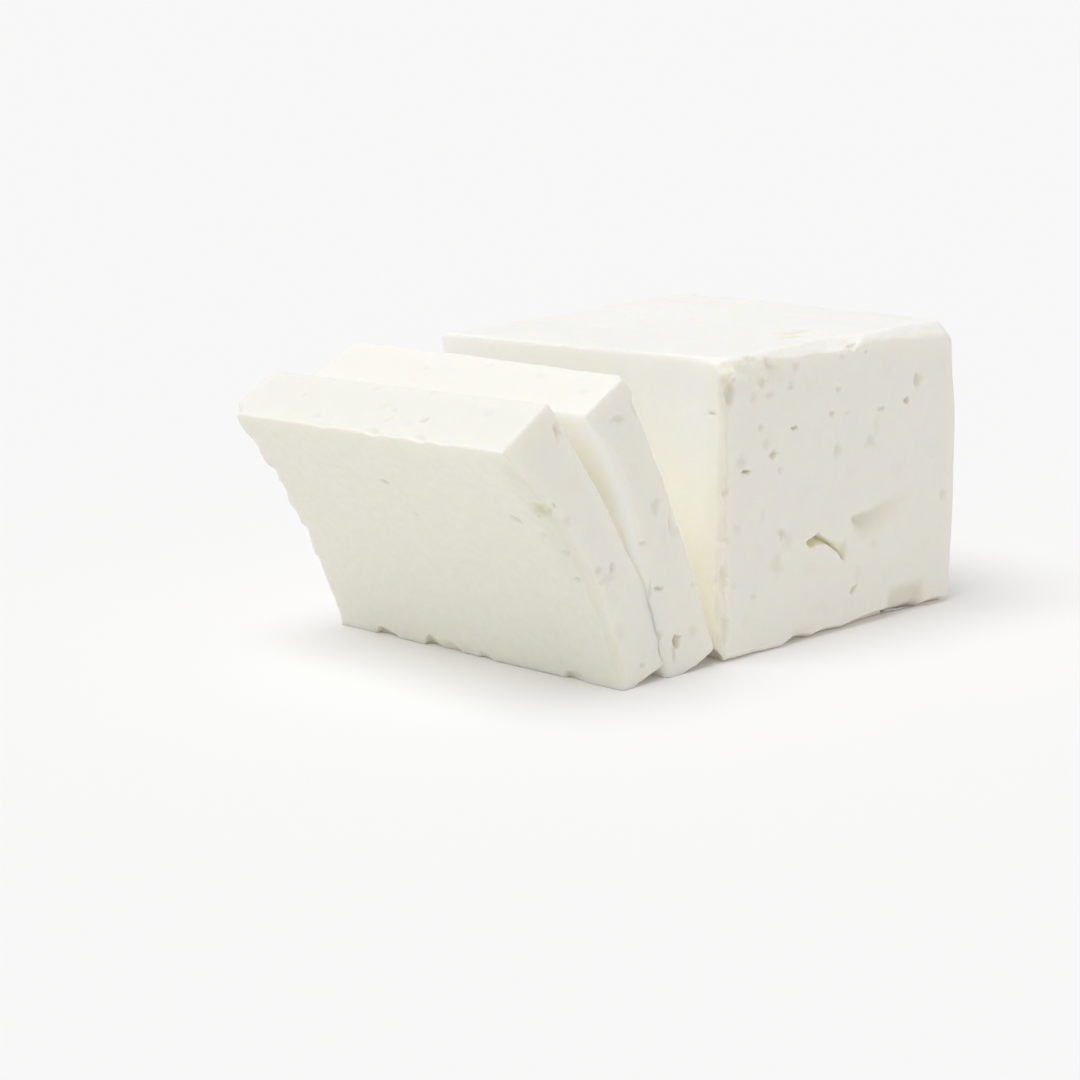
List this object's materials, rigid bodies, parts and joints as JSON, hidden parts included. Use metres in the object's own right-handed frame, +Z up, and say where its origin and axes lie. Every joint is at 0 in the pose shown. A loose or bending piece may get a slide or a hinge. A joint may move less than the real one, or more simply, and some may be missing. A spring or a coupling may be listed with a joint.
{
  "type": "white brined cheese",
  "caption": "Block of white brined cheese with a fresh cut end; slices cut from that end still cling to it at their feet and lean away. It rests on its flat base.",
  "frame": {"origin": "on the resting plane, under the middle of the whole cheese's box", "axes": "+Z up, +Y from the cut end to the back end of the loaf, +X to the side of the loaf that shows in the picture"},
  "size_m": [0.1016, 0.1688, 0.077],
  "materials": {
    "cheese": "moist matte white curd with fine pits and a faint cream tint in its hollows"
  },
  "bodies": {
    "root": {"block": "cheese", "slice_back": "cheese", "slice_front": "cheese"}
  },
  "joints": []
}
